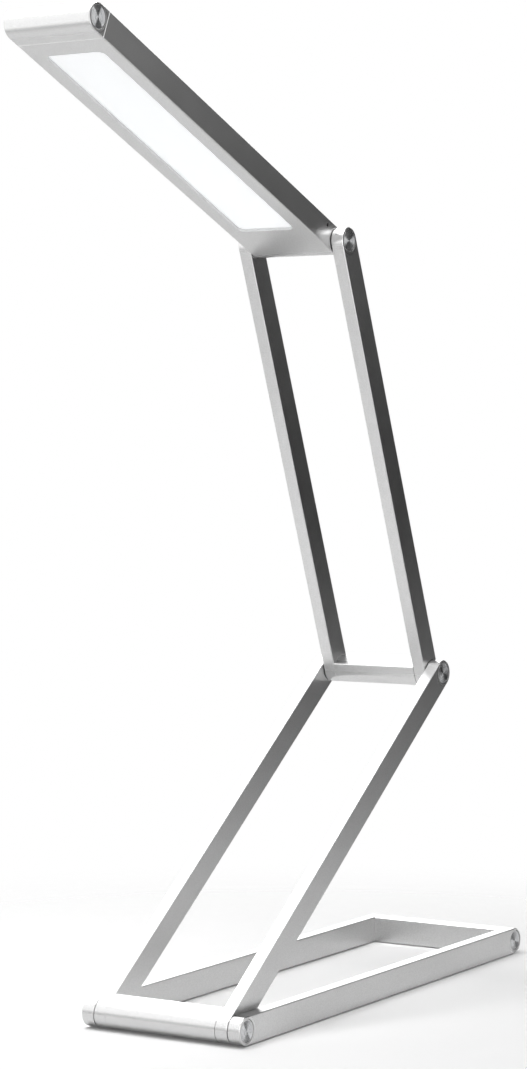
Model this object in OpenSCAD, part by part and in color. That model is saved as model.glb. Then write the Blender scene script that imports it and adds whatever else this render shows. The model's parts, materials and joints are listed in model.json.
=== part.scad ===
// Folding desk lamp. A base, two open arms and a light head, each one narrower and shorter than
// the last, are joined end to end by friction hinges. Folded, each section lies inside the one
// before it, and the lamp is a flat slab one rail deep.
// Lengths are in millimetres. X runs along the hinge axes, the base's back is towards +Y, +Z is up.
// Each section is drawn along its own +Y from its hinge axis, and then turned into the lamp's pose.

/* [Sections] */
// Depth of every section, and the height of the lamp when it lies folded
rail_h = 12; // [11:0.5:16]
// Width of one side rail
rail_t = 5.95; // [5:0.05:8]
// Width of the head, the innermost section
head_w = 42; // [39:0.5:80]
// Length of the base, from the front hinge axis to the rear screw axis
base_len = 237; // [200:1:300]
// Gap at each side between one section and the next one in
side_gap = 0.3; // [0.2:0.05:1.2]
// Room left between a folded tip and the bar that it folds up to
fold_gap = 0.8; // [0.5:0.1:4]
// Chamfer along the edges of the rails and the bars
edge_c = 0.3; // [0.1:0.05:0.5]
// Chamfer along the edges of the head
head_c = 0.4; // [0.2:0.05:0.6]

/* [Cross bars] */
// Reach of the base's back bar in front of its screw axis
back_bar_reach = 7.2; // [7:0.1:12]
// Reach of the lower arm's bar behind its hinge axis
front_bar_reach = 6.5; // [5.2:0.1:7.2]
// Reach of the middle arm's bar beyond its hinge axis
middle_bar_reach = 5.2; // [5:0.1:7.2]
// Diameter of the dowels that keep the bars from turning between their rails
dowel_d = 1.5; // [1:0.1:1.8]
// Depth of a dowel in the rail, and again in the bar
dowel_grip = 3; // [2:0.1:4]
// Metal left between a dowel and the screw beside it
dowel_wall = 1; // [0.8:0.1:1.2]

/* [Pose] */
// Angle of the lower arm above the base
lower_angle = 36.6; // [4:0.1:90]
// Angle from the line of the lower arm to the middle arm, 180 when folded
middle_angle = 73.6; // [0:0.1:170]
// Angle from the line of the middle arm to the head, 180 when folded
head_angle = 46.1; // [0:0.1:180]

/* [Hinges] */
// Width of the rim that is left around a cap disc
cap_rim = 0.88; // [0.6:0.02:1.2]
// Thickness of a cap disc
cap_t = 0.9; // [0.6:0.05:1.2]
// Clearance around a cap disc in its seat
cap_clear = 0.12; // [0.05:0.01:0.2]
// Depth of a cap disc's face below the face around it
cap_inset = 0.1; // [0:0.05:0.3]
// Chamfer around a cap disc
cap_c = 0.2; // [0.1:0.05:0.4]
// Radius of a hinge screw's head
screw_head_r = 3.5; // [3.2:0.1:3.8]
// Thickness of a hinge screw's head
screw_head_t = 1.5; // [1:0.1:1.8]
// Clearance around a screw head, and between it and the cap disc
screw_clear = 0.3; // [0.2:0.05:0.4]
// Thickness of the spring washer that makes a hinge stiff
spring_t = 0.5; // [0.3:0.05:0.7]
// Radius of a hinge screw's shoulder, on which the outer rail turns
shoulder_r = 2.5; // [2.2:0.1:2.8]
// Radial clearance of the shoulder in the rail
run_clear = 0.05; // [0.02:0.01:0.1]
// Radius of a hinge screw's thread
thread_r = 1.5; // [1.2:0.1:1.8]
// Length of thread in a bar or in the head
thread_grip = 7; // [5:0.5:9]
// Size of the hexagon socket in a screw, from its middle to a corner
socket_r = 1.3; // [1:0.1:1.6]
// Depth of that socket
socket_depth = 0.9; // [0.6:0.1:0.9]
// Radius of the liner disc between two sections
liner_r = 5; // [4:0.1:5.2]

/* [Feet] */
// Length of one foot pad
pad_len = 24; // [12:1:40]
// Width of one foot pad
pad_w = 3.4; // [2.5:0.1:4.2]
// Thickness of one foot pad
pad_t = 0.8; // [0.6:0.1:1.5]
// Height of a pad below its rail
pad_proud = 0.4; // [0.2:0.1:0.5]
// Distance of a pad's middle from the front or rear axis of the base
pad_from_axis = 26; // [20:1:60]

/* [Head] */
// Side walls of the head, and its top wall
head_wall = 1.2; // [1:0.1:1.6]
// Thickness of the face around the window, and so the depth of the lit panel in it
window_depth = 1.4; // [0.8:0.1:1.8]
// Distance from the hinge axis to the window
window_start = 24; // [22:0.1:40]
// Width of the window
window_w = 28.4; // [20:0.1:31]
// Distance from the far end of the window to the axis of the nose
window_to_nose = 15.6; // [15:0.1:40]
// Radius of the window's corners
window_r = 3; // [2:0.5:10]
// Length of the solid hinge block beyond the axis
hinge_block = 7; // [6:0.5:8]
// Reach of the nose bar behind its axis
nose_reach = 6; // [5.5:0.1:7.5]
// Chamfer along the seam between the nose bar and the head
seam_c = 0.2; // [0.1:0.05:0.4]
// Length of the tongue with which the nose bar plugs into the head
nose_tongue = 5; // [3:0.5:6]
// Clearance of the tongue in the head
tongue_clear = 0.05; // [0.02:0.01:0.1]

/* [Light] */
// Thickness of the opal diffuser
diffuser_t = 1; // [0.8:0.1:1.5]
// Thickness of the clear light guide behind it
guide_t = 2.5; // [2:0.1:3]
// Thickness of the white reflector sheet behind the guide
reflector_t = 0.3; // [0.2:0.05:0.5]
// Width by which these sheets lie behind the edge of the window
sheet_lap = 1.4; // [1:0.1:1.8]
// Number of light-emitting diodes along each side of the guide
led_count = 14; // [8:1:20]
// Length of one diode
led_l = 3; // [2:0.1:4]
// Height of one diode
led_h = 1.6; // [1:0.1:1.8]
// Thickness of one diode
led_t = 0.8; // [0.6:0.05:1]
// Thickness of the strips that carry the diodes
strip_t = 0.8; // [0.6:0.05:1]
// Gap between the diodes and the edge of the guide
led_gap = 0.1; // [0.05:0.05:0.2]

/* [Electronics] */
// Width of the battery
battery_w = 29; // [20:1:31]
// Gap between the control board and the battery
battery_gap = 10; // [5:0.5:20]
// Distance from the battery to the axis of the nose
battery_to_nose = 37; // [16:0.5:60]
// Thickness of the adhesive pad that holds the battery
tape_t = 0.5; // [0.3:0.1:1]
// Width of the control board
board_w = 36; // [30:0.5:38]
// Thickness of the control board
board_t = 1; // [0.8:0.1:1.6]
// Gap around the control board
board_gap = 0.5; // [0.3:0.1:1]
// Width of the charging socket
usb_w = 7.6; // [7:0.1:8]
// Height of the charging socket
usb_h = 2.6; // [2.4:0.1:3]
// Depth of the charging socket
usb_len = 5.6; // [5:0.1:7]
// Wall of the socket's metal shell
usb_wall = 0.35; // [0.2:0.05:0.5]
// Clearance around the socket in the side of the head
usb_clear = 0.25; // [0.1:0.05:0.4]
// Thickness of the contact tongue in the socket
usb_tongue_t = 0.6; // [0.4:0.05:0.8]
// Depth of the socket and of the charge light below the sides of the head
side_inset = 0.3; // [0.1:0.05:0.5]
// Radius of the charge light in the other side of the head
lamp_r = 1; // [0.6:0.1:1.2]
// Distance from the hinge axis to the charge light
lamp_s = 10; // [9.5:0.1:12]
// Height of the charge light above the middle of the head's side
lamp_up = 2.9; // [2:0.1:3.2]
// Radius of the touch key in the top of the head
key_r = 4; // [3:0.1:5]
// Thickness of the touch key
key_t = 0.6; // [0.4:0.05:0.8]
// Radius of the contact spring under the touch key
key_spring_r = 2; // [1.5:0.1:2.4]
// Radius of one battery lead
lead_r = 0.6; // [0.4:0.1:0.8]

/* [Hidden] */
$fn = 64;

alloy = "#c8cacd";
turned = "#b9bbbe";
steel = "#9fa3a8";
rubber = "#2b2b2d";
nylon = "#242427";

// Depth below the outer face of a rail: seat of the cap, under the screw head, floor of its pocket
seat_depth = cap_inset + cap_t;
under_head = seat_depth + screw_clear + screw_head_t;
pocket_depth = under_head + spring_t;

r = rail_h / 2;
cap_r = r - cap_rim - cap_clear;
pocket_r = screw_head_r + screw_clear;
hole_clear = 0.1;
cut = 1;

// A dowel is clear of the thread in an arm, and of the wider pocket at the back of the base
dowel_off = thread_r + hole_clear + dowel_wall + (dowel_d + hole_clear) / 2;
rear_dowel_off = dowel_off + pocket_r - thread_r - hole_clear;

// Half widths: the outer faces of the four sections, one around the other
width_step = rail_t + side_gap;
head_x = head_w / 2;
middle_x = head_x + width_step;
lower_x = middle_x + width_step;
base_x = lower_x + width_step;

// Lengths between axes: each section folds into the one before it
nest_step = r + back_bar_reach + fold_gap;
lower_len = base_len - nest_step;
middle_len = lower_len - nest_step;
head_len = middle_len - nest_step;

// Directions of the sections, from the +Y axis towards +Z
lower_a = lower_angle;
middle_a = lower_a + middle_angle;
head_a = middle_a + head_angle;

// Hinge axes, as [y, z] from the front hinge
middle_at = lower_len * [cos(lower_a), sin(lower_a)];
head_at = middle_at + middle_len * [cos(middle_a), sin(middle_a)];
nose_at = head_at + head_len * [cos(head_a), sin(head_a)];

// The origin is on the floor, halfway along the lamp as it stands
axis_z = pad_proud + r;
ends_y = [0, base_len, middle_at[0], head_at[0], nose_at[0]];
front_y = -(min(ends_y) + max(ends_y)) / 2;

// Inside the head, from its middle plane towards the lit side
face_t = r;
cavity_x = head_x - head_wall;
cavity_top = -(r - head_wall);
panel_t = face_t - window_depth;
guide_top = panel_t - diffuser_t;
reflector_top = guide_top - guide_t;
battery_top = reflector_top - reflector_t;
tape_top = cavity_top + tape_t;
board_top = reflector_top - board_t;

window_end = head_len - window_to_nose;
sheet_start = window_start - sheet_lap;
sheet_end = window_end + sheet_lap;
sheet_x = window_w / 2 + sheet_lap;
led_x = sheet_x + led_gap;
shelf_end = sheet_start - board_gap;
housing_end = head_len - nose_reach;
board_start = hinge_block + board_gap;
board_end = shelf_end;
usb_s = (board_start + board_end) / 2;
battery_start = board_end + battery_gap;
battery_end = head_len - battery_to_nose;
tape_margin = 4;
lead_gap = 0.6;
corner_r = 0.8;

module in_base() { translate([0, front_y, axis_z]) children(); }
module in_lower() { in_base() rotate([lower_a, 0, 0]) children(); }
module in_middle() {
    in_base() translate([0, middle_at[0], middle_at[1]]) rotate([middle_a, 0, 0]) children();
}
module in_head() {
    in_base() translate([0, head_at[0], head_at[1]]) rotate([head_a, 0, 0]) children();
}

// Turns +Z into a direction inwards from the outer face x of one side, at s along the section
module from_face(side, x, s) {
    translate([side * x, s, 0]) rotate([0, -90 * side, 0]) children();
}
module both_sides() {
    for (side = [-1, 1]) {
        $side = side;
        children();
    }
}

// Rectangle w by h about the origin, with its corners cut off
module cut_rect(w, h, c) {
    a = w / 2;
    b = h / 2;
    polygon([[-a + c, -b], [a - c, -b], [a, -b + c], [a, b - c],
             [a - c, b], [-a + c, b], [-a, b - c], [-a, -b + c]]);
}

// Rectangle with round corners, from [x0, y0] to [x1, y1]
module round_rect(x0, y0, x1, y1, cr) {
    translate([x0 + cr, y0]) square([x1 - x0 - 2 * cr, y1 - y0]);
    translate([x0, y0 + cr]) square([x1 - x0, y1 - y0 - 2 * cr]);
    for (x = [x0 + cr, x1 - cr], y = [y0 + cr, y1 - cr]) translate([x, y]) circle(cr);
}

// A straight length of chamfered bar along +Y, from y0 to y1
module straight(w, y0, y1, c = edge_c) {
    translate([0, y1, 0]) rotate([90, 0, 0]) linear_extrude(y1 - y0) cut_rect(w, rail_h, c);
}

// The half-round end of such a bar, on the +Y side of its axis
module round_end(w, c = edge_c) {
    rotate([0, 90, 0]) rotate_extrude(angle = 180)
        polygon([[0, -w / 2], [r - c, -w / 2], [r, -w / 2 + c],
                 [r, w / 2 - c], [r - c, w / 2], [0, w / 2]]);
}

module rail_blank(side, x, len) {
    translate([side * (x - rail_t / 2), 0, 0]) {
        straight(rail_t, 0, len);
        translate([0, len, 0]) round_end(rail_t);
        rotate([180, 0, 0]) round_end(rail_t);
    }
}

// Seen along the hinge axis, a bar is half round in front of its axis and flat behind it
module bar_blank(x, reach) {
    translate([-x, 0, 0]) rotate([90, 0, 90]) linear_extrude(2 * x) {
        intersection() {
            circle(r);
            translate([-rail_h, -r]) square([rail_h, rail_h]);
        }
        polygon([[0, -r], [reach - edge_c, -r], [reach, -r + edge_c],
                 [reach, r - edge_c], [reach - edge_c, r], [0, r]]);
    }
}

// What is cut from the tip of an outer rail: the cap's seat, the screw's pocket and its bore
module tip_cut(side, x, s, depth = pocket_depth, bore_r = shoulder_r + run_clear) {
    from_face(side, x, s) {
        translate([0, 0, -cut]) cylinder(r = cap_r + cap_clear, h = cut + seat_depth);
        translate([0, 0, -cut]) cylinder(r = pocket_r, h = cut + depth);
        translate([0, 0, -cut]) cylinder(r = bore_r, h = 2 * cut + rail_t);
    }
}

// The hole for a screw's thread, from the outer face x inwards
module thread_hole(side, x, s, depth) {
    from_face(side, x, s) translate([0, 0, -cut])
        cylinder(r = thread_r + hole_clear, h = cut + depth);
}

// A dowel's hole, half in the rail and half in the bar that meets it at x
module dowel_hole(side, x, s) {
    translate([side * x, s, 0]) rotate([0, 90, 0])
        cylinder(d = dowel_d + hole_clear, h = 2 * (dowel_grip + hole_clear), center = true);
}

module dowels(x, s) {
    both_sides() translate([$side * x, s, 0]) rotate([0, 90, 0])
        cylinder(d = dowel_d, h = 2 * dowel_grip, center = true);
}

module cap_disc(side, x, s) {
    from_face(side, x, s) translate([0, 0, cap_inset]) rotate_extrude()
        polygon([[0, 0], [cap_r - cap_c, 0], [cap_r, cap_c], [cap_r, cap_t], [0, cap_t]]);
}
module caps(x, s) { both_sides() cap_disc($side, x, s); }

module screw(side, x, s, shoulder, shoulder_end, thread_end) {
    head_at_depth = seat_depth + screw_clear;
    from_face(side, x, s) difference() {
        union() {
            translate([0, 0, head_at_depth]) cylinder(r = screw_head_r, h = screw_head_t);
            translate([0, 0, head_at_depth]) cylinder(r = shoulder, h = shoulder_end - head_at_depth);
            translate([0, 0, head_at_depth]) cylinder(r = thread_r, h = thread_end - head_at_depth);
        }
        translate([0, 0, head_at_depth - cut]) cylinder(r = socket_r, h = cut + socket_depth, $fn = 6);
    }
}

// Screws of a hinge: the shoulder ends on the inner section, which the thread then enters
module hinge_screws(x, s, through) {
    both_sides() screw($side, x, s, shoulder_r, rail_t + side_gap,
                       rail_t + side_gap + through + thread_grip);
}

module ring(r_out, r_in, h) {
    difference() {
        cylinder(r = r_out, h = h);
        translate([0, 0, -cut]) cylinder(r = r_in, h = h + 2 * cut);
    }
}
module hinge_springs(x, s) {
    both_sides() from_face($side, x, s) translate([0, 0, under_head])
        ring(screw_head_r, shoulder_r + hole_clear, spring_t);
}
module hinge_liners(x, s) {
    both_sides() from_face($side, x, s) translate([0, 0, rail_t])
        ring(liner_r, shoulder_r + hole_clear, side_gap);
}

// Base
module pad_places() {
    both_sides() for (s = [pad_from_axis, base_len - pad_from_axis])
        translate([$side * (base_x - rail_t / 2), s, -r]) children();
}
module pad_shape(grow) {
    w = pad_w + 2 * grow;
    translate([-w / 2, -(pad_len - pad_w) / 2]) square([w, pad_len - pad_w]);
    for (y = [-1, 1]) translate([0, y * (pad_len - pad_w) / 2]) circle(d = w);
}
module base_rail(side) {
    color(alloy) in_base() difference() {
        rail_blank(side, base_x, base_len);
        tip_cut(side, base_x, 0);
        tip_cut(side, base_x, base_len, under_head, thread_r + hole_clear);
        dowel_hole(side, base_x - rail_t, base_len - rear_dowel_off);
        pad_places() translate([0, 0, -cut])
            linear_extrude(cut + pad_t - pad_proud) pad_shape(hole_clear / 2);
    }
}
module base_rail_left() { base_rail(-1); }
module base_rail_right() { base_rail(1); }
module back_bar() {
    x = base_x - rail_t;
    color(alloy) in_base() difference() {
        translate([0, base_len, 0]) rotate([180, 0, 0]) bar_blank(x, back_bar_reach);
        both_sides() {
            thread_hole($side, x, base_len, thread_grip + hole_clear);
            dowel_hole($side, x, base_len - rear_dowel_off);
        }
    }
}
module back_bar_screws() {
    color(steel) in_base() both_sides()
        screw($side, base_x, base_len, thread_r, under_head, rail_t + thread_grip);
}
module back_bar_dowels() {
    color(steel) in_base() dowels(base_x - rail_t, base_len - rear_dowel_off);
}
module rear_caps() { color(turned) in_base() caps(base_x, base_len); }
module foot_pads() {
    color(rubber) in_base() pad_places() translate([0, 0, -pad_proud])
        linear_extrude(pad_t) pad_shape(0);
}
module base_hinge_caps() { color(turned) in_base() caps(base_x, 0); }
module base_hinge_springs() { color(steel) in_base() hinge_springs(base_x, 0); }

// An arm's rail: the screw's thread goes through its near end, and its far end is a fork tip
module arm_rail(side, x, len) {
    color(alloy) difference() {
        rail_blank(side, x, len);
        thread_hole(side, x, 0, rail_t + cut);
        dowel_hole(side, x - rail_t, dowel_off);
        tip_cut(side, x, len);
    }
}
module arm_bar(x, reach) {
    color(alloy) difference() {
        bar_blank(x - rail_t, reach);
        both_sides() {
            thread_hole($side, x - rail_t, 0, thread_grip + hole_clear);
            dowel_hole($side, x - rail_t, dowel_off);
        }
    }
}

// Lower arm
module lower_rail_left() { in_lower() arm_rail(-1, lower_x, lower_len); }
module lower_rail_right() { in_lower() arm_rail(1, lower_x, lower_len); }
module front_bar() { in_lower() arm_bar(lower_x, front_bar_reach); }
module front_bar_dowels() { color(steel) in_lower() dowels(lower_x - rail_t, dowel_off); }
module base_hinge_screws() { color(steel) in_lower() hinge_screws(base_x, 0, rail_t); }
module base_hinge_liners() { color(nylon) in_lower() hinge_liners(base_x, 0); }
module middle_hinge_caps() { color(turned) in_lower() caps(lower_x, lower_len); }
module middle_hinge_springs() { color(steel) in_lower() hinge_springs(lower_x, lower_len); }

// Middle arm
module middle_rail_left() { in_middle() arm_rail(-1, middle_x, middle_len); }
module middle_rail_right() { in_middle() arm_rail(1, middle_x, middle_len); }
module middle_bar() { in_middle() arm_bar(middle_x, middle_bar_reach); }
module middle_bar_dowels() { color(steel) in_middle() dowels(middle_x - rail_t, dowel_off); }
module middle_hinge_screws() { color(steel) in_middle() hinge_screws(lower_x, 0, rail_t); }
module middle_hinge_liners() { color(nylon) in_middle() hinge_liners(lower_x, 0); }
module head_hinge_caps() { color(turned) in_middle() caps(middle_x, middle_len); }
module head_hinge_springs() { color(steel) in_middle() hinge_springs(middle_x, middle_len); }

// Head: a box turned towards the desk at +Z, with a half-round end at its hinge and another one,
// the nose bar, at its tip

// A straight length of the head that starts at the seam and is chamfered all round it there
module seamed(len) {
    intersection() {
        straight(head_w, 0, len, head_c);
        translate([0, 0, -r - cut]) linear_extrude(rail_h + 2 * cut)
            polygon([[-head_x + seam_c, 0], [head_x - seam_c, 0], [head_x, seam_c],
                     [head_x, len], [-head_x, len], [-head_x, seam_c]]);
        translate([-head_x - cut, 0, 0]) rotate([90, 0, 90]) linear_extrude(head_w + 2 * cut)
            polygon([[0, -r + seam_c], [seam_c, -r], [len, -r],
                     [len, r], [seam_c, r], [0, r - seam_c]]);
    }
}
module head_blank() {
    translate([0, housing_end, 0]) rotate([0, 0, 180]) seamed(housing_end);
    rotate([180, 0, 0]) round_end(head_w, head_c);
}
module cavity() {
    translate([-cavity_x, hinge_block, cavity_top])
        cube([2 * cavity_x, housing_end - hinge_block + cut, reflector_top - cavity_top]);
    translate([-cavity_x, shelf_end, cavity_top])
        cube([2 * cavity_x, housing_end - shelf_end + cut, panel_t - cavity_top]);
}
module window() {
    translate([0, 0, panel_t - cut]) linear_extrude(window_depth + 2 * cut)
        round_rect(-window_w / 2, window_start, window_w / 2, window_end, window_r);
}
module usb_opening() {
    h = usb_h + 2 * usb_clear;
    w = usb_w + 2 * usb_clear;
    translate([-head_x - cut, usb_s - w / 2, board_top - usb_h - usb_clear]) rotate([90, 0, 90])
        linear_extrude(head_wall + 2 * cut) round_rect(0, 0, w, h, corner_r);
}
module head_housing() {
    color(alloy) in_head() difference() {
        head_blank();
        cavity();
        window();
        usb_opening();
        both_sides() thread_hole($side, head_x, 0, thread_grip + hole_clear);
        translate([head_x - head_wall - cut, lamp_s, -lamp_up]) rotate([0, 90, 0])
            cylinder(r = lamp_r, h = head_wall + 2 * cut);
        translate([0, usb_s, -r - cut]) cylinder(r = key_r + hole_clear / 2, h = cut + key_t);
        translate([0, usb_s, -r - cut])
            cylinder(r = key_spring_r + screw_clear, h = head_wall + 2 * cut);
    }
}
module nose_bar() {
    y0 = housing_end;
    color(alloy) in_head() difference() {
        union() {
            translate([0, y0, 0]) seamed(nose_reach);
            translate([0, head_len, 0]) round_end(head_w, head_c);
            translate([-cavity_x + tongue_clear, y0 - nose_tongue, cavity_top + tongue_clear])
                cube([2 * (cavity_x - tongue_clear), nose_tongue + cut,
                      panel_t - cavity_top - 2 * tongue_clear]);
        }
        both_sides() from_face($side, head_x, head_len) translate([0, 0, -cut])
            cylinder(r = cap_r + cap_clear, h = cut + seat_depth);
    }
}
module nose_caps() { color(turned) in_head() caps(head_x, head_len); }
module head_hinge_screws() { color(steel) in_head() hinge_screws(middle_x, 0, 0); }
module head_hinge_liners() { color(nylon) in_head() hinge_liners(middle_x, 0); }

// Sheets behind the window: one flat panel from the top of the next one down to its own top
module sheet(top, t) {
    translate([-sheet_x, sheet_start, top])
        cube([2 * sheet_x, sheet_end - sheet_start, t]);
}
module diffuser() { color("#f4f6f8") in_head() sheet(guide_top, diffuser_t); }
module light_guide() { color("#dfe9ee") in_head() sheet(reflector_top, guide_t); }
module reflector_sheet() { color("white") in_head() sheet(battery_top, reflector_t); }

module led_strips() {
    color("#f2f2ee") in_head() both_sides()
        translate([$side > 0 ? led_x + led_t : -led_x - led_t - strip_t, sheet_start, reflector_top])
        cube([strip_t, sheet_end - sheet_start, panel_t - reflector_top]);
}
module led_chips() {
    pitch = (window_end - window_start) / led_count;
    color("#f5d76e") in_head() both_sides() for (i = [0:led_count - 1])
        translate([$side > 0 ? led_x : -led_x - led_t, window_start + (i + 0.5) * pitch - led_l / 2,
                   reflector_top + (guide_t - led_h) / 2])
            cube([led_t, led_l, led_h]);
}
module battery() {
    color("#8fa2b8") in_head() translate([-battery_w / 2, battery_start, tape_top])
        cube([battery_w, battery_end - battery_start, battery_top - tape_top]);
}
module battery_tape() {
    w = battery_w - 2 * tape_margin;
    color("#3a3a3c") in_head()
        translate([-w / 2, battery_start + tape_margin, cavity_top])
        cube([w, battery_end - battery_start - 2 * tape_margin, tape_t]);
}
module battery_leads() {
    color("#b03030") in_head() both_sides()
        translate([$side * (lead_r + lead_gap), board_end, battery_top - hole_clear - lead_r])
        rotate([-90, 0, 0]) cylinder(r = lead_r, h = battery_start - board_end);
}
module control_board() {
    color("#2f6b4a") in_head() translate([-board_w / 2, board_start, board_top])
        cube([board_w, board_end - board_start, board_t]);
}
module usb_socket() {
    inner = [usb_len - 2 * usb_wall, usb_w - 2 * usb_wall, usb_h - 2 * usb_wall];
    color("#c0c2c4") in_head()
        translate([-head_x + side_inset, usb_s - usb_w / 2, board_top - usb_h]) {
            difference() {
                cube([usb_len, usb_w, usb_h]);
                translate([-cut, usb_wall, usb_wall]) cube([inner[0] + cut, inner[1], inner[2]]);
            }
            translate([usb_wall, usb_w / 4, (usb_h - usb_tongue_t) / 2])
                cube([inner[0] + usb_wall, usb_w / 2, usb_tongue_t]);
        }
}
module charge_light() {
    foot_x = board_w / 2 - lamp_r;
    color("#d9efe0") in_head() {
        translate([foot_x, lamp_s, -lamp_up]) rotate([0, 90, 0])
            cylinder(r = lamp_r - hole_clear / 2, h = head_x - side_inset - foot_x);
        translate([foot_x, lamp_s, -lamp_up])
            cylinder(r = lamp_r - 2 * hole_clear, h = board_top + lamp_up);
    }
}
module touch_key() {
    color("#d4d6d8") in_head() translate([0, usb_s, -r]) cylinder(r = key_r, h = key_t);
}
module touch_spring() {
    color(steel) in_head() translate([0, usb_s, -r + key_t])
        cylinder(r = key_spring_r, h = board_top + r - key_t);
}

base_rail_left();
base_rail_right();
back_bar();
back_bar_screws();
back_bar_dowels();
rear_caps();
foot_pads();
base_hinge_caps();
base_hinge_springs();
lower_rail_left();
lower_rail_right();
front_bar();
front_bar_dowels();
base_hinge_screws();
base_hinge_liners();
middle_hinge_caps();
middle_hinge_springs();
middle_rail_left();
middle_rail_right();
middle_bar();
middle_bar_dowels();
middle_hinge_screws();
middle_hinge_liners();
head_hinge_caps();
head_hinge_springs();
head_housing();
nose_bar();
nose_caps();
head_hinge_screws();
head_hinge_liners();
diffuser();
light_guide();
reflector_sheet();
led_strips();
led_chips();
battery();
battery_tape();
battery_leads();
control_board();
usb_socket();
charge_light();
touch_key();
touch_spring();
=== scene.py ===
import json
import math

import bmesh
import bpy
from mathutils import Matrix, Vector


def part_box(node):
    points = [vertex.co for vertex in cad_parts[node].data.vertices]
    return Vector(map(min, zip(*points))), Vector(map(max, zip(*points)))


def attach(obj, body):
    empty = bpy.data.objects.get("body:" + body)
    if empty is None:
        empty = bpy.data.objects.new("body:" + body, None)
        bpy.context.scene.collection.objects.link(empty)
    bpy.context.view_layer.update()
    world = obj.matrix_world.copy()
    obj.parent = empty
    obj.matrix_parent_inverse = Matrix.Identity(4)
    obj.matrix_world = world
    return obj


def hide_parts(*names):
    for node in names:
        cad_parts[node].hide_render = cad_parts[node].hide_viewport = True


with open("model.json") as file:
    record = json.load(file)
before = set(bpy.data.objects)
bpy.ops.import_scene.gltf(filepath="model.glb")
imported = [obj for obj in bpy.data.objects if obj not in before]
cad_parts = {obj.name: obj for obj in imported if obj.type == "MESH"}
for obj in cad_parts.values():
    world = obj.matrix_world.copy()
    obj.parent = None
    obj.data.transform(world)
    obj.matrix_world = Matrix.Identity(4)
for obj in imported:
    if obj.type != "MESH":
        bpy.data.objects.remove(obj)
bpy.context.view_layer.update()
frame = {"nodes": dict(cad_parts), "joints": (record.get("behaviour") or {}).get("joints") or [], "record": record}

# Looks of the folding desk lamp, in metres. Lengths that are easier to read in millimetres are
# multiplied by MM.
MM = 0.001
# The five axes, and the body that the cap discs on each ride on. The node of the caps on an axis is
# named for it, such as rear_caps.
AXES = {"rear": "base", "base_hinge": "base", "middle_hinge": "lower_arm",
        "head_hinge": "middle_arm", "nose": "head"}


# Node and mesh helpers


def srgb(code):
    """The linear colour of an sRGB hex value."""
    parts = [int(code[i:i + 2], 16) / 255 for i in (1, 3, 5)]
    return [c / 12.92 if c <= 0.04045 else ((c + 0.055) / 1.055) ** 2.4 for c in parts] + [1]


def add(tree, kind, inputs=None, **settings):
    """Adds a shader node. Each value in inputs is a socket to link from, or a value to set."""
    made = tree.nodes.new("ShaderNode" + kind)
    for name, value in settings.items():
        setattr(made, name, value)
    for name, value in (inputs or {}).items():
        if isinstance(value, bpy.types.NodeSocket):
            tree.links.new(value, made.inputs[name])
        else:
            made.inputs[name].default_value = value
    return made


def material(name):
    """A material that has no nodes yet, and its tree."""
    made = bpy.data.materials.new(name)
    made.use_nodes = True
    made.node_tree.nodes.clear()
    return made, made.node_tree


def mesh_object(name, bm, *finishes):
    """Makes an object of a bmesh, which is freed, and puts it into the scene."""
    mesh = bpy.data.meshes.new(name)
    bm.to_mesh(mesh)
    bm.free()
    for finish in finishes:
        mesh.materials.append(finish)
    made = bpy.data.objects.new(name, mesh)
    bpy.context.scene.collection.objects.link(made)
    return made


# Materials


# Noise keeps near its middle: what lies between these two values is spread over the whole range
NOISE_LOW, NOISE_HIGH = 0.3, 0.7
# Radius of the bars' round ends: half their depth
END_RADIUS = 6 * MM
# Distances from that radius at which the finish of the round ends starts to fade, and is gone
END_FADE = (0.05 * MM, 0.3 * MM)
FLAT_ROUGHNESS = 0.31
END_ROUGHNESS = 0.24
# Marks of the blasting beads, drawn coarser than real so that they show
BEAD_MARK = 0.35 * MM
BEAD_RELIEF = 0.012 * MM
# Clouds in the blasted finish, and how much rougher or smoother they are
CLOUD_WIDTH = 9 * MM
CLOUD_CHANGE = 0.015
# Milling lines on the round ends, drawn coarser than real so that they show
LINE_PITCH = 0.3 * MM
LINE_LENGTH = 9 * MM
LINE_RELIEF = 0.01 * MM
# Rings of the turned finish, and the map that they follow
RING_PITCH = 0.22 * MM
RING_RELIEF = 0.01 * MM
TURNING_MAP = "turning"
# Grain of the opal acrylic's satin face, drawn coarser than real so that it shows
SATIN_GRAIN = 0.4 * MM
SATIN_RELIEF = 0.01 * MM
# Clouds in the zinc plating
PLATING_CLOUD = 1.5 * MM


def mottled(tree, pattern, dark, light):
    """Two close hex colours, mixed by a pattern of noise that is spread over the whole range."""
    share = add(tree, "MapRange", {"Value": pattern, "From Min": NOISE_LOW,
                                   "From Max": NOISE_HIGH}).outputs["Result"]
    mix = add(tree, "Mix", {"Factor": share, "A": srgb(dark), "B": srgb(light)}, data_type="RGBA")
    return mix.outputs["Result"]


def on_round_ends(tree, where):
    """1 on the round ends of the bars, 0 on their flat faces: how near the distance to the
    nearest axis comes to the radius of an end."""
    flattened = add(tree, "VectorMath", {0: where, 1: (0, 1, 1)}, operation="MULTIPLY")
    reaches = []
    for axis in AXES:
        low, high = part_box(f"{axis}_caps")
        centre = (low + high) / 2
        reach = add(tree, "VectorMath", {0: flattened.outputs[0], 1: (0, centre.y, centre.z)},
                    operation="DISTANCE")
        reaches.append(reach.outputs["Value"])
    nearest = reaches[0]
    for reach in reaches[1:]:
        nearest = add(tree, "Math", {0: nearest, 1: reach}, operation="MINIMUM").outputs[0]
    off = add(tree, "Math", {0: nearest, 1: END_RADIUS}, operation="SUBTRACT").outputs[0]
    off = add(tree, "Math", {0: off}, operation="ABSOLUTE").outputs[0]
    return add(tree, "MapRange", {"Value": off, "From Min": END_FADE[0], "From Max": END_FADE[1],
                                  "To Min": 1, "To Max": 0}).outputs["Result"]


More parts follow.
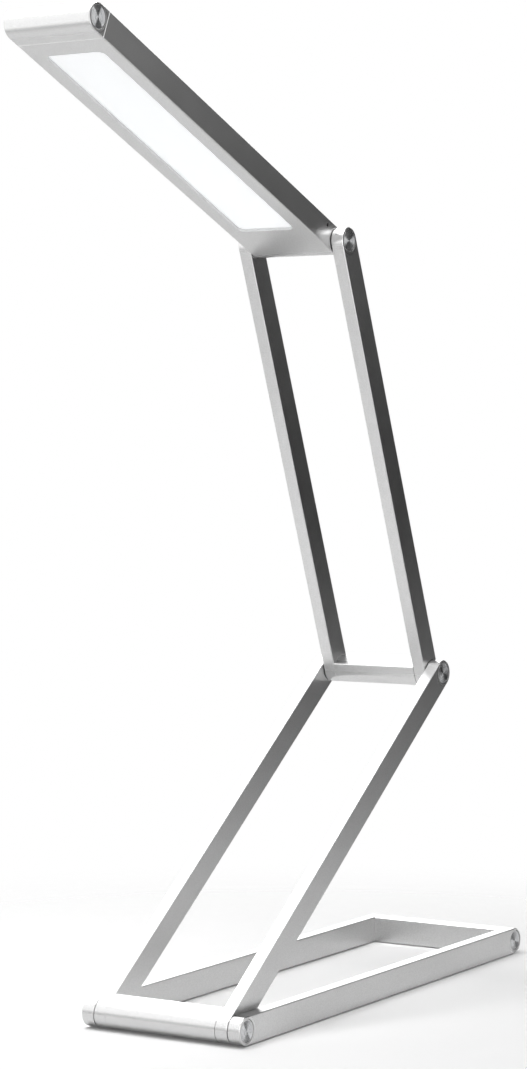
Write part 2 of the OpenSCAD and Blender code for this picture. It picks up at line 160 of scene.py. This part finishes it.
def satin_aluminium():
    """Aluminium, blasted with fine beads and clear anodised: a soft even sheen that mirrors its
    surroundings only as blurred light and dark, with a fine grain that shows on the dark sides.
    The round ends are milled and come out smoother, with faint lines across them."""
    made, tree = material("satin_anodised_aluminium")
    where = add(tree, "TexCoord").outputs["Object"]
    ends = on_round_ends(tree, where)
    beads = add(tree, "TexNoise", {"Vector": where, "Scale": 1 / BEAD_MARK}).outputs["Fac"]
    clouds = add(tree, "TexNoise", {"Vector": where, "Scale": 1 / CLOUD_WIDTH, "Detail": 1})
    change = add(tree, "MapRange", {
        "Value": clouds.outputs["Fac"], "From Min": NOISE_LOW, "From Max": NOISE_HIGH,
        "To Min": -CLOUD_CHANGE, "To Max": CLOUD_CHANGE}).outputs["Result"]
    level = add(tree, "MapRange", {"Value": ends, "To Min": FLAT_ROUGHNESS,
                                   "To Max": END_ROUGHNESS}).outputs["Result"]
    roughness = add(tree, "Math", {0: change, 1: level}, operation="ADD").outputs[0]
    blasted = add(tree, "Bump", {"Height": beads, "Strength": 0.4, "Distance": BEAD_RELIEF})
    across = add(tree, "VectorMath", {0: where, 1: (LINE_PITCH / LINE_LENGTH, 1, 1)},
                 operation="MULTIPLY").outputs["Vector"]
    lines = add(tree, "TexNoise", {"Vector": across, "Scale": 1 / LINE_PITCH}).outputs["Fac"]
    end_lines = add(tree, "Math", {0: lines, 1: ends}, operation="MULTIPLY").outputs[0]
    milled = add(tree, "Bump", {"Height": end_lines, "Strength": 0.5, "Distance": LINE_RELIEF,
                                "Normal": blasted.outputs["Normal"]})
    shader = add(tree, "BsdfPrincipled", {
        "Base Color": mottled(tree, beads, "#cacaca", "#dbdbdb"), "Metallic": 1,
        "Roughness": roughness, "Normal": milled.outputs["Normal"]})
    add(tree, "OutputMaterial", {"Surface": shader.outputs[0]})
    return made


def turned_aluminium():
    """Aluminium faced on a lathe and left bright: fine rings, which with the grooves that are
    modelled draw the light out from the middle of the disc into two fans."""
    made, tree = material("turned_aluminium")
    around = add(tree, "Tangent", direction_type="UV_MAP", uv_map=TURNING_MAP)
    where = add(tree, "UVMap", uv_map=TURNING_MAP).outputs["UV"]
    rings = add(tree, "TexNoise", {"Vector": where, "Scale": 1},
                noise_dimensions="2D").outputs["Fac"]
    relief = add(tree, "Bump", {"Height": rings, "Strength": 0.3, "Distance": RING_RELIEF})
    shader = add(tree, "BsdfPrincipled", {
        "Base Color": mottled(tree, rings, "#bbbcbe", "#dcddde"), "Metallic": 1,
        "Roughness": 0.19, "Anisotropic": 0.3, "Tangent": around.outputs["Tangent"],
        "Normal": relief.outputs["Normal"]})
    add(tree, "OutputMaterial", {"Surface": shader.outputs[0]})
    return made


def opal_acrylic():
    """Opal cast acrylic with a satin face: an even white with no softbox mirrored in it, and a painted glow that
    makes it brighter than the metal around it."""
    made, tree = material("opal_acrylic")
    where = add(tree, "TexCoord").outputs["Object"]
    satin = add(tree, "TexNoise", {"Vector": where, "Scale": 1 / SATIN_GRAIN}).outputs["Fac"]
    colour = add(tree, "Mix", {"Factor": satin, "A": srgb("#f2f5f7"), "B": srgb("#fbfcfd")},
                 data_type="RGBA").outputs["Result"]
    relief = add(tree, "Bump", {"Height": satin, "Strength": 0.2, "Distance": SATIN_RELIEF})
    # The emission is a painted glow that makes the panel brighter than the metal around it
    shader = add(tree, "BsdfPrincipled", {
        "Base Color": colour, "Roughness": 0.4, "IOR": 1.49,
        "Emission Color": srgb("#fdfeff"), "Emission Strength": 0.37,
        "Normal": relief.outputs["Normal"]})
    add(tree, "OutputMaterial", {"Surface": shader.outputs[0]})
    return made


def plated_steel():
    """Steel with a thin bright zinc plating: a grey mirror, slightly clouded."""
    made, tree = material("plated_steel")
    where = add(tree, "TexCoord").outputs["Object"]
    clouds = add(tree, "TexNoise", {"Vector": where, "Scale": 1 / PLATING_CLOUD}).outputs["Fac"]
    colour = add(tree, "Mix", {"Factor": clouds, "A": srgb("#a9adb2"), "B": srgb("#c4c7ca")},
                 data_type="RGBA").outputs["Result"]
    roughness = add(tree, "MapRange", {
        "Value": clouds, "From Min": NOISE_LOW, "From Max": NOISE_HIGH,
        "To Min": 0.2, "To Max": 0.36}).outputs["Result"]
    shader = add(tree, "BsdfPrincipled", {
        "Base Color": colour, "Metallic": 1, "Roughness": roughness})
    add(tree, "OutputMaterial", {"Surface": shader.outputs[0]})
    return made


def moulded(name, dark, light, size, roughness, relief=0.02 * MM, **more):
    """A moulded or coated surface: two close colours in blotches of a size, with their relief."""
    made, tree = material(name)
    where = add(tree, "TexCoord").outputs["Object"]
    pattern = add(tree, "TexNoise", {"Vector": where, "Scale": 1 / size}).outputs["Fac"]
    uneven = add(tree, "Bump", {"Height": pattern, "Strength": 0.4, "Distance": relief})
    shader = add(tree, "BsdfPrincipled", {
        "Base Color": mottled(tree, pattern, dark, light), "Roughness": roughness,
        "Normal": uneven.outputs["Normal"], **more})
    add(tree, "OutputMaterial", {"Surface": shader.outputs[0]})
    return made


metal = satin_aluminium()
turned = turned_aluminium()
steel = plated_steel()
finishes = {
    "anodised_aluminium": metal,
    "turned_aluminium": turned,
    "steel": steel,
    "socket_shell": steel,
    "opal_diffuser": opal_acrylic(),
    # Black nylon sheet, punched: waxy, and a dark line between two sections
    "nylon_liner": moulded("black_nylon", "#1f1f21", "#2a2a2c", 0.8 * MM, 0.45),
    # Neoprene rubber, cut from sheet: matt and faintly pitted
    "rubber_pad": moulded("neoprene_rubber", "#232325", "#303032", 0.3 * MM, 0.8),
    # Clear acrylic, polished at the edges
    "clear_acrylic": moulded("clear_acrylic", "#eef3f5", "#f6f9fa", 5 * MM, 0.05,
                             **{"Transmission Weight": 0.9, "IOR": 1.49}),
    # Polyester film filled with white pigment: an even pearly white
    "white_film": moulded("white_polyester_film", "#f0f1f2", "#fafafa", 2 * MM, 0.4),
    # Circuit strip with a white mask
    "led_strip": moulded("white_circuit_strip", "#e9eae6", "#f3f3f0", 1 * MM, 0.35),
    # Silicone with yellow phosphor
    "led_chip": moulded("phosphor_silicone", "#e8c544", "#f3d968", 0.3 * MM, 0.3),
    # Aluminium laminated film round the cell, slightly crumpled
    "battery_foil": moulded("laminated_foil", "#9aa0a8", "#b4b9c0", 6 * MM, 0.3, 0.3 * MM,
                            Metallic=1),
    # Closed-cell foam with adhesive on both faces
    "foam_tape": moulded("acrylic_foam", "#303033", "#3d3d40", 0.5 * MM, 0.9),
    # Silicone-covered wire
    "lead_wire": moulded("silicone_wire", "#8c1f1f", "#a52a26", 1 * MM, 0.5),
    # Glass-fibre board with a green mask
    "circuit_board": moulded("green_solder_mask", "#1d5237", "#2a6b49", 1.2 * MM, 0.35),
    # Smoked polycarbonate, moulded and clear: it shows dark until the diode behind it is lit
    "light_pipe": moulded("smoked_polycarbonate", "#1b1d1f", "#26292b", 2 * MM, 0.12, IOR=1.58),
    # Touch key of conductive plastic, painted like the housing
    "touch_key": moulded("painted_touch_key", "#cfd1d3", "#dadcde", 0.4 * MM, 0.4),
}
slots = {row["node"]: row["material_slot"] for row in frame["record"]["subparts"]}
for node, piece in frame["nodes"].items():
    piece.material_slots[0].material = finishes[slots[node]]


# Cap discs


# Finer than their plain solids: a face turned in grooves and, a little lower around it, a plain
# ring with the satin finish
DISC_THICK = 0.9 * MM
DISC_CHAMFER = 0.12 * MM
DISC_STEP = 0.08 * MM
PLAIN_RING = 0.45 * MM
CENTRE_MARK = 0.22 * MM
DISC_TURNS = 96
# Width and slope of one groove, drawn coarser than real so that its rings can show
GROOVE_PITCH = 0.45 * MM
GROOVE_SLOPE = math.radians(21)
# Points of the spun mesh that are nearer to each other than this become one
MERGE_DISTANCE = 0.0005 * MM
# An edge is sharp where its faces meet at more than this
SHARP_ANGLE = math.radians(25)


def disc_profile(radius):
    """Half the disc's section, as (depth below its face, distance from its axis)."""
    face_r = radius - PLAIN_RING
    count = int((face_r - CENTRE_MARK) / GROOVE_PITCH)
    pitch = (face_r - CENTRE_MARK) / count
    depth = pitch / 2 * math.tan(GROOVE_SLOPE)
    section = [(depth, 0)]
    for i in range(count):
        ridge = CENTRE_MARK + i * pitch
        section += [(0, ridge), (depth, ridge + pitch / 2)]
    return section + [(0, face_r), (DISC_STEP, face_r), (DISC_STEP, radius - DISC_CHAMFER),
                      (DISC_STEP + DISC_CHAMFER, radius), (DISC_THICK, radius), (DISC_THICK, 0)]


def turned_discs(name, node, body):
    """The pair of discs that stands for a cap node: spun about its axis, with a map whose first
    direction runs out from the middle, as the lathe's rings cross it."""
    low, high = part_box(node)
    centre = (low + high) / 2
    radius = (high.z - low.z) / 2
    bm = bmesh.new()
    for side, face_x in ((-1, low.x), (1, high.x)):
        ring = [bm.verts.new((face_x - side * depth, centre.y, centre.z + r))
                for depth, r in disc_profile(radius)]
        edges = [bm.edges.new(pair) for pair in zip(ring, ring[1:])]
        bmesh.ops.spin(bm, geom=ring + edges, cent=centre, axis=(1, 0, 0), dvec=(0, 0, 0),
                       angle=math.tau, steps=DISC_TURNS, use_merge=True)
    bmesh.ops.remove_doubles(bm, verts=bm.verts, dist=MERGE_DISTANCE)
    bmesh.ops.recalc_face_normals(bm, faces=bm.faces)
    turning = bm.loops.layers.uv.new(TURNING_MAP)
    for face in bm.faces:
        middle = (face.calc_center_median() - centre).yz
        face.smooth = True
        face.material_index = int(middle.length > radius - PLAIN_RING)
        for loop in face.loops:
            arm = (loop.vert.co - centre).yz
            # A point on the axis has no direction of its own, so it takes its face's
            towards = middle if arm.length < MERGE_DISTANCE else arm
            angle = math.atan2(towards.y, towards.x)
            loop[turning].uv = (arm.length / RING_PITCH, angle / math.tau)
    piece = mesh_object(name, bm, turned, metal)
    piece.data.set_sharp_from_angle(angle=SHARP_ANGLE)
    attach(piece, body)
    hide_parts(node)


for axis, body in AXES.items():
    turned_discs(f"{axis}_discs", f"{axis}_caps", body)


# Stage


# A white table that fades into the white backdrop, with softboxes above, behind and beside the desk
# lamp. Its metal also mirrors what lights nothing: a wide softbox overhead, a white card at the
# front left, which makes the round ends bright, and a dark card at the back right, which darkens
# the right sides. Both cards are graded from their foot up.
WHITE = "#ffffff"
TABLE_WHITE = "#f6f6f6"
TABLE_RADIUS = 3.0
TABLE_SIDES = 64
# Distances from the desk lamp at which the table starts to fade, and is gone: for the camera, which
# sees it fade into the backdrop, and for the metal, which mirrors more of it
FADE_SEEN = (0.1, 0.4)
FADE_MIRRORED = (0.35, 1.0)
# What the table adds to itself in front of the camera, so that it ends up as white as the backdrop
TABLE_LIFT = 0.06
# Level of the backdrop where neither the camera nor metal or glass looks at it
AMBIENT = 0.25


def make_table():
    """A white disc under the desk lamp. From below it is clear and hides nothing."""
    made, tree = material("white_table")
    where = add(tree, "TexCoord").outputs["Object"]
    seen = add(tree, "LightPath").outputs["Is Camera Ray"]
    start, end = [add(tree, "MapRange", {"Value": seen, "To Min": mirrored, "To Max": shown})
                  for mirrored, shown in zip(FADE_MIRRORED, FADE_SEEN)]
    far = add(tree, "VectorMath", {0: where}, operation="LENGTH").outputs["Value"]
    fade = add(tree, "MapRange", {"Value": far, "From Min": start.outputs["Result"],
                                  "From Max": end.outputs["Result"]},
               interpolation_type="SMOOTHSTEP").outputs["Result"]
    below = add(tree, "NewGeometry").outputs["Backfacing"]
    clear = add(tree, "Math", {0: fade, 1: below}, operation="MAXIMUM").outputs[0]
    white = add(tree, "BsdfDiffuse", {"Color": srgb(TABLE_WHITE)})
    lift = add(tree, "Math", {0: seen, 1: TABLE_LIFT}, operation="MULTIPLY").outputs[0]
    glow = add(tree, "Emission", {"Color": srgb(WHITE), "Strength": lift})
    near = add(tree, "AddShader", {0: white.outputs[0], 1: glow.outputs[0]})
    gone = add(tree, "BsdfTransparent")
    mixed = add(tree, "MixShader", {0: clear, 1: near.outputs[0], 2: gone.outputs[0]})
    add(tree, "OutputMaterial", {"Surface": mixed.outputs[0]})
    bm = bmesh.new()
    bmesh.ops.create_circle(bm, cap_ends=True, segments=TABLE_SIDES, radius=TABLE_RADIUS)
    mesh_object("table", bm, made)


def make_world():
    """White where the camera, metal or glass looks; a plain grey level for the rest."""
    world = bpy.data.worlds.new("backdrop")
    bpy.context.scene.world = world
    world.use_nodes = True
    tree = world.node_tree
    tree.nodes.clear()
    path = add(tree, "LightPath").outputs
    seen = add(tree, "Math", {0: path["Is Camera Ray"], 1: path["Is Glossy Ray"]},
               operation="MAXIMUM").outputs[0]
    seen = add(tree, "Math", {0: seen, 1: path["Is Transmission Ray"]},
               operation="MAXIMUM").outputs[0]
    level = add(tree, "MapRange", {"Value": seen, "To Min": AMBIENT, "To Max": 1})
    sky = add(tree, "Background", {"Color": srgb(WHITE), "Strength": level.outputs["Result"]})
    add(tree, "OutputWorld", {"Surface": sky.outputs[0]})


def card(name, away, bearing, width, height, shades):
    """An upright card on the table that only the metal sees. It stands away from the desk lamp at
    a bearing from +Y towards +X, and shades are its levels of light, as (height, level)."""
    made, tree = material(name)
    where = add(tree, "TexCoord").outputs["Object"]
    up = add(tree, "SeparateXYZ", {0: where}).outputs["Z"]
    level = shades[0][1]
    for (low, dark), (high, light) in zip(shades, shades[1:]):
        rise = add(tree, "MapRange", {"Value": up, "From Min": low, "From Max": high,
                                      "To Min": 0, "To Max": light - dark}).outputs["Result"]
        level = add(tree, "Math", {0: rise, 1: level}, operation="ADD").outputs[0]
    glow = add(tree, "Emission", {"Color": srgb(WHITE), "Strength": level})
    add(tree, "OutputMaterial", {"Surface": glow.outputs[0]})
    bm = bmesh.new()
    # The size is half a side, so this is a square metre
    bmesh.ops.create_grid(bm, x_segments=1, y_segments=1, size=0.5)
    bmesh.ops.scale(bm, vec=(width, height, 1), verts=bm.verts)
    bmesh.ops.rotate(bm, matrix=Matrix.Rotation(math.pi / 2, 3, "X"), verts=bm.verts)
    bmesh.ops.translate(bm, vec=(0, away, height / 2), verts=bm.verts)
    bmesh.ops.rotate(bm, matrix=Matrix.Rotation(-math.radians(bearing), 3, "Z"), verts=bm.verts)
    standing = mesh_object(name, bm, made)
    standing.visible_camera = False
    standing.visible_diffuse = False
    standing.visible_transmission = False
    standing.visible_shadow = False


def softbox(name, place, aim, width, height, radiance, lights=True):
    """A rectangular light of that radiance, which faces aim. One that lights nothing is only
    mirrored in the metal."""
    light = bpy.data.lights.new(name, "AREA")
    light.shape = "RECTANGLE"
    light.size = width
    light.size_y = height
    light.energy = radiance * math.pi * width * height
    made = bpy.data.objects.new(name, light)
    made.location = place
    made.rotation_euler = (Vector(aim) - Vector(place)).to_track_quat("-Z", "Y").to_euler()
    made.visible_camera = False
    made.visible_diffuse = lights
    bpy.context.scene.collection.objects.link(made)


make_table()
make_world()
card("dark_card", away=0.48, bearing=31, width=0.70, height=1.3,
     shades=[(0, 0.33), (0.1, 0.12), (0.2, 0.02), (0.36, 0.07), (0.5, 0.16), (1.0, 0.26)])
card("white_card", away=0.60, bearing=-141, width=1.1, height=1.3,
     shades=[(0, 0.7), (0.08, 0.8), (0.2, 1.4)])
# The main light, from above, which makes a pool of light on the table
softbox("pool_softbox", place=(-0.11, -0.11, 0.65), aim=(-0.11, -0.11, 0),
        width=0.45, height=0.45, radiance=6.3)
# A broad one overhead, for the upward faces to mirror
softbox("overhead_softbox", place=(-0.05, 0.20, 1.25), aim=(-0.05, 0.20, 0),
        width=2.4, height=1.1, radiance=1.5, lights=False)
# Two from behind on the left, low and high
softbox("rear_softbox", place=(-1.0, 1.7, 0.55), aim=(0, 0, 0.1),
        width=1.4, height=1.0, radiance=1.25)
softbox("rear_overhead_softbox", place=(-1.1, 1.25, 1.3), aim=(0, 0, 0.3),
        width=1.2, height=0.8, radiance=1.1)
# A narrow one at the right front, for the edges on that side
softbox("edge_softbox", place=(0.75, -0.38, 0.22), aim=(0, 0, 0.22),
        width=0.22, height=0.5, radiance=1.5)


# Camera


# Worked out from the desk lamp's edges in the photograph: focal length and centre in its pixels,
# the camera's place from the middle of the base hinge, and its turn: yaw from +Y towards -X, pitch
# downwards, and roll about its line of sight
PHOTO_W, PHOTO_H = 527, 1069
FOCAL_PX = 2881.4
CENTRE_PX = (266.7, 518.6)
CAMERA_FROM_HINGE = (677.7 * MM, -985.3 * MM, 252.2 * MM)
YAW, PITCH, ROLL = math.radians(32.456), math.radians(2.034), math.radians(-0.408)
# Width of the camera's sensor, which spans the photograph's height
SENSOR_MM = 36


def make_camera():
    data = bpy.data.cameras.new("camera")
    camera = bpy.data.objects.new("camera", data)
    bpy.context.scene.collection.objects.link(camera)
    bpy.context.scene.camera = camera
    ahead = Vector((-math.sin(YAW) * math.cos(PITCH), math.cos(YAW) * math.cos(PITCH),
                    -math.sin(PITCH)))
    right = ahead.cross(Vector((0, 0, 1))).normalized()
    up = right.cross(ahead)
    rolled_right = math.cos(ROLL) * right + math.sin(ROLL) * up
    rolled_up = math.cos(ROLL) * up - math.sin(ROLL) * right
    turn = Matrix((rolled_right, rolled_up, -ahead)).transposed()
    camera.rotation_euler = turn.to_euler()
    hinge = next(Vector(j["pos_m"]) for j in frame["joints"] if j["name"] == "base_hinge")
    camera.location = hinge + Vector(CAMERA_FROM_HINGE)
    data.sensor_width = SENSOR_MM
    data.lens = FOCAL_PX / PHOTO_H * SENSOR_MM
    data.shift_x = (PHOTO_W / 2 - CENTRE_PX[0]) / PHOTO_H
    data.shift_y = (CENTRE_PX[1] - PHOTO_H / 2) / PHOTO_H


make_camera()
bpy.context.scene.view_settings.view_transform = "Standard"
